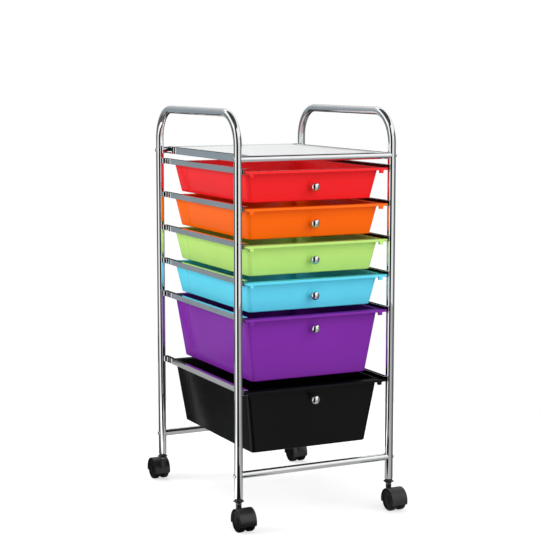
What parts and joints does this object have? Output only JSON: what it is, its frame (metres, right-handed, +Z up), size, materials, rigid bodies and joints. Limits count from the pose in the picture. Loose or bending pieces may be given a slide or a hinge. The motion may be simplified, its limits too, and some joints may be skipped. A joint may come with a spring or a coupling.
{
  "type": "rolling storage cart",
  "caption": "Rolling storage cart: chrome tube frame on swivel casters, mesh shelf with side handles on top, and a stack of tapered plastic drawers sliding in channel rails.",
  "frame": {"origin": "on the floor, under the centre of the frame", "axes": "+Z up; the drawers open towards -Y, the front; +X to the right seen from the front"},
  "size_m": [0.372, 0.4898, 0.8155],
  "materials": {
    "chrome_tube": "polished chrome plate on steel tube",
    "chrome_rail": "chrome plate on rolled steel channel",
    "mesh_metal": "silver powder coat on fine steel mesh",
    "chrome_small": "polished chrome plate",
    "screw_steel": "zinc plated",
    "pin_steel": "zinc plated",
    "insert_plastic": "moulded nylon with a cut thread",
    "caster_plastic": "moulded black nylon, low sheen",
    "wheel_plastic": "moulded black nylon, low sheen",
    "red_plastic": "moulded polypropylene, soft gloss",
    "orange_plastic": "moulded polypropylene, soft gloss",
    "lime_plastic": "moulded polypropylene, soft gloss",
    "blue_plastic": "moulded polypropylene, soft gloss",
    "purple_plastic": "moulded polypropylene, soft gloss",
    "black_plastic": "moulded polypropylene, soft gloss"
  },
  "bodies": {
    "frame": {"front_left_post": "chrome_tube", "rear_left_post": "chrome_tube", "front_right_post": "chrome_tube", "rear_right_post": "chrome_tube", "left_handle": "chrome_tube", "right_handle": "chrome_tube", "front_cross_tube": "chrome_tube", "rear_cross_tube": "chrome_tube", "shelf_frame": "chrome_tube", "shelf_mesh": "mesh_metal", "frame_bolts": "chrome_small", "tube_inserts": "insert_plastic", "leg_sockets": "caster_plastic", "red_drawer_left_rail": "chrome_rail", "red_drawer_right_rail": "chrome_rail", "orange_drawer_left_rail": "chrome_rail", "orange_drawer_right_rail": "chrome_rail", "lime_drawer_left_rail": "chrome_rail", "lime_drawer_right_rail": "chrome_rail", "blue_drawer_left_rail": "chrome_rail", "blue_drawer_right_rail": "chrome_rail", "purple_drawer_left_rail": "chrome_rail", "purple_drawer_right_rail": "chrome_rail", "black_drawer_left_rail": "chrome_rail", "black_drawer_right_rail": "chrome_rail"},
    "red_drawer_set": {"red_drawer": "red_plastic", "red_drawer_knob": "chrome_small", "red_drawer_knob_screw": "screw_steel"},
    "orange_drawer_set": {"orange_drawer": "orange_plastic", "orange_drawer_knob": "chrome_small", "orange_drawer_knob_screw": "screw_steel"},
    "lime_drawer_set": {"lime_drawer": "lime_plastic", "lime_drawer_knob": "chrome_small", "lime_drawer_knob_screw": "screw_steel"},
    "blue_drawer_set": {"blue_drawer": "blue_plastic", "blue_drawer_knob": "chrome_small", "blue_drawer_knob_screw": "screw_steel"},
    "purple_drawer_set": {"purple_drawer": "purple_plastic", "purple_drawer_knob": "chrome_small", "purple_drawer_knob_screw": "screw_steel"},
    "black_drawer_set": {"black_drawer": "black_plastic", "black_drawer_knob": "chrome_small", "black_drawer_knob_screw": "screw_steel"},
    "front_left_caster_fork": {"front_left_caster_hood": "caster_plastic", "front_left_caster_pins": "pin_steel"},
    "front_left_caster_left_wheel_body": {"front_left_caster_left_wheel": "wheel_plastic"},
    "front_left_caster_right_wheel_body": {"front_left_caster_right_wheel": "wheel_plastic"},
    "rear_left_caster_fork": {"rear_left_caster_hood": "caster_plastic", "rear_left_caster_pins": "pin_steel"},
    "rear_left_caster_left_wheel_body": {"rear_left_caster_left_wheel": "wheel_plastic"},
    "rear_left_caster_right_wheel_body": {"rear_left_caster_right_wheel": "wheel_plastic"},
    "front_right_caster_fork": {"front_right_caster_hood": "caster_plastic", "front_right_caster_pins": "pin_steel"},
    "front_right_caster_left_wheel_body": {"front_right_caster_left_wheel": "wheel_plastic"},
    "front_right_caster_right_wheel_body": {"front_right_caster_right_wheel": "wheel_plastic"},
    "rear_right_caster_fork": {"rear_right_caster_hood": "caster_plastic", "rear_right_caster_pins": "pin_steel"},
    "rear_right_caster_left_wheel_body": {"rear_right_caster_left_wheel": "wheel_plastic"},
    "rear_right_caster_right_wheel_body": {"rear_right_caster_right_wheel": "wheel_plastic"}
  },
  "joints": [
    {"name": "red_drawer_slide", "type": "slide", "parent": "frame", "child": "red_drawer_set", "axis": [0, -1, 0], "range_m": [0, 0.3]},
    {"name": "orange_drawer_slide", "type": "slide", "parent": "frame", "child": "orange_drawer_set", "axis": [0, -1, 0], "range_m": [0, 0.3]},
    {"name": "lime_drawer_slide", "type": "slide", "parent": "frame", "child": "lime_drawer_set", "axis": [0, -1, 0], "range_m": [0, 0.3]},
    {"name": "blue_drawer_slide", "type": "slide", "parent": "frame", "child": "blue_drawer_set", "axis": [0, -1, 0], "range_m": [0, 0.3]},
    {"name": "purple_drawer_slide", "type": "slide", "parent": "frame", "child": "purple_drawer_set", "axis": [0, -1, 0], "range_m": [0, 0.3]},
    {"name": "black_drawer_slide", "type": "slide", "parent": "frame", "child": "black_drawer_set", "axis": [0, -1, 0], "range_m": [0, 0.3]},
    {"name": "front_left_caster_swivel", "type": "hinge", "parent": "frame", "child": "front_left_caster_fork", "pos_m": [-0.169, -0.1972, 0.0525], "axis": [0, 0, 1], "continuous": true},
    {"name": "front_left_caster_left_wheel_spin", "type": "hinge", "parent": "front_left_caster_fork", "child": "front_left_caster_left_wheel_body", "pos_m": [-0.169, -0.2205, 0.022], "axis": [1, 0, 0], "continuous": true},
    {"name": "front_left_caster_right_wheel_spin", "type": "hinge", "parent": "front_left_caster_fork", "child": "front_left_caster_right_wheel_body", "pos_m": [-0.169, -0.2205, 0.022], "axis": [1, 0, 0], "continuous": true},
    {"name": "rear_left_caster_swivel", "type": "hinge", "parent": "frame", "child": "rear_left_caster_fork", "pos_m": [-0.169, 0.1972, 0.0525], "axis": [0, 0, 1], "continuous": true},
    {"name": "rear_left_caster_left_wheel_spin", "type": "hinge", "parent": "rear_left_caster_fork", "child": "rear_left_caster_left_wheel_body", "pos_m": [-0.169, 0.2205, 0.022], "axis": [1, 0, 0], "continuous": true},
    {"name": "rear_left_caster_right_wheel_spin", "type": "hinge", "parent": "rear_left_caster_fork", "child": "rear_left_caster_right_wheel_body", "pos_m": [-0.169, 0.2205, 0.022], "axis": [1, 0, 0], "continuous": true},
    {"name": "front_right_caster_swivel", "type": "hinge", "parent": "frame", "child": "front_right_caster_fork", "pos_m": [0.169, -0.1972, 0.0525], "axis": [0, 0, 1], "continuous": true},
    {"name": "front_right_caster_left_wheel_spin", "type": "hinge", "parent": "front_right_caster_fork", "child": "front_right_caster_left_wheel_body", "pos_m": [0.169, -0.2205, 0.022], "axis": [1, 0, 0], "continuous": true},
    {"name": "front_right_caster_right_wheel_spin", "type": "hinge", "parent": "front_right_caster_fork", "child": "front_right_caster_right_wheel_body", "pos_m": [0.169, -0.2205, 0.022], "axis": [1, 0, 0], "continuous": true},
    {"name": "rear_right_caster_swivel", "type": "hinge", "parent": "frame", "child": "rear_right_caster_fork", "pos_m": [0.169, 0.1972, 0.0525], "axis": [0, 0, 1], "continuous": true},
    {"name": "rear_right_caster_left_wheel_spin", "type": "hinge", "parent": "rear_right_caster_fork", "child": "rear_right_caster_left_wheel_body", "pos_m": [0.169, 0.2205, 0.022], "axis": [1, 0, 0], "continuous": true},
    {"name": "rear_right_caster_right_wheel_spin", "type": "hinge", "parent": "rear_right_caster_fork", "child": "rear_right_caster_right_wheel_body", "pos_m": [0.169, 0.2205, 0.022], "axis": [1, 0, 0], "continuous": true}
  ]
}
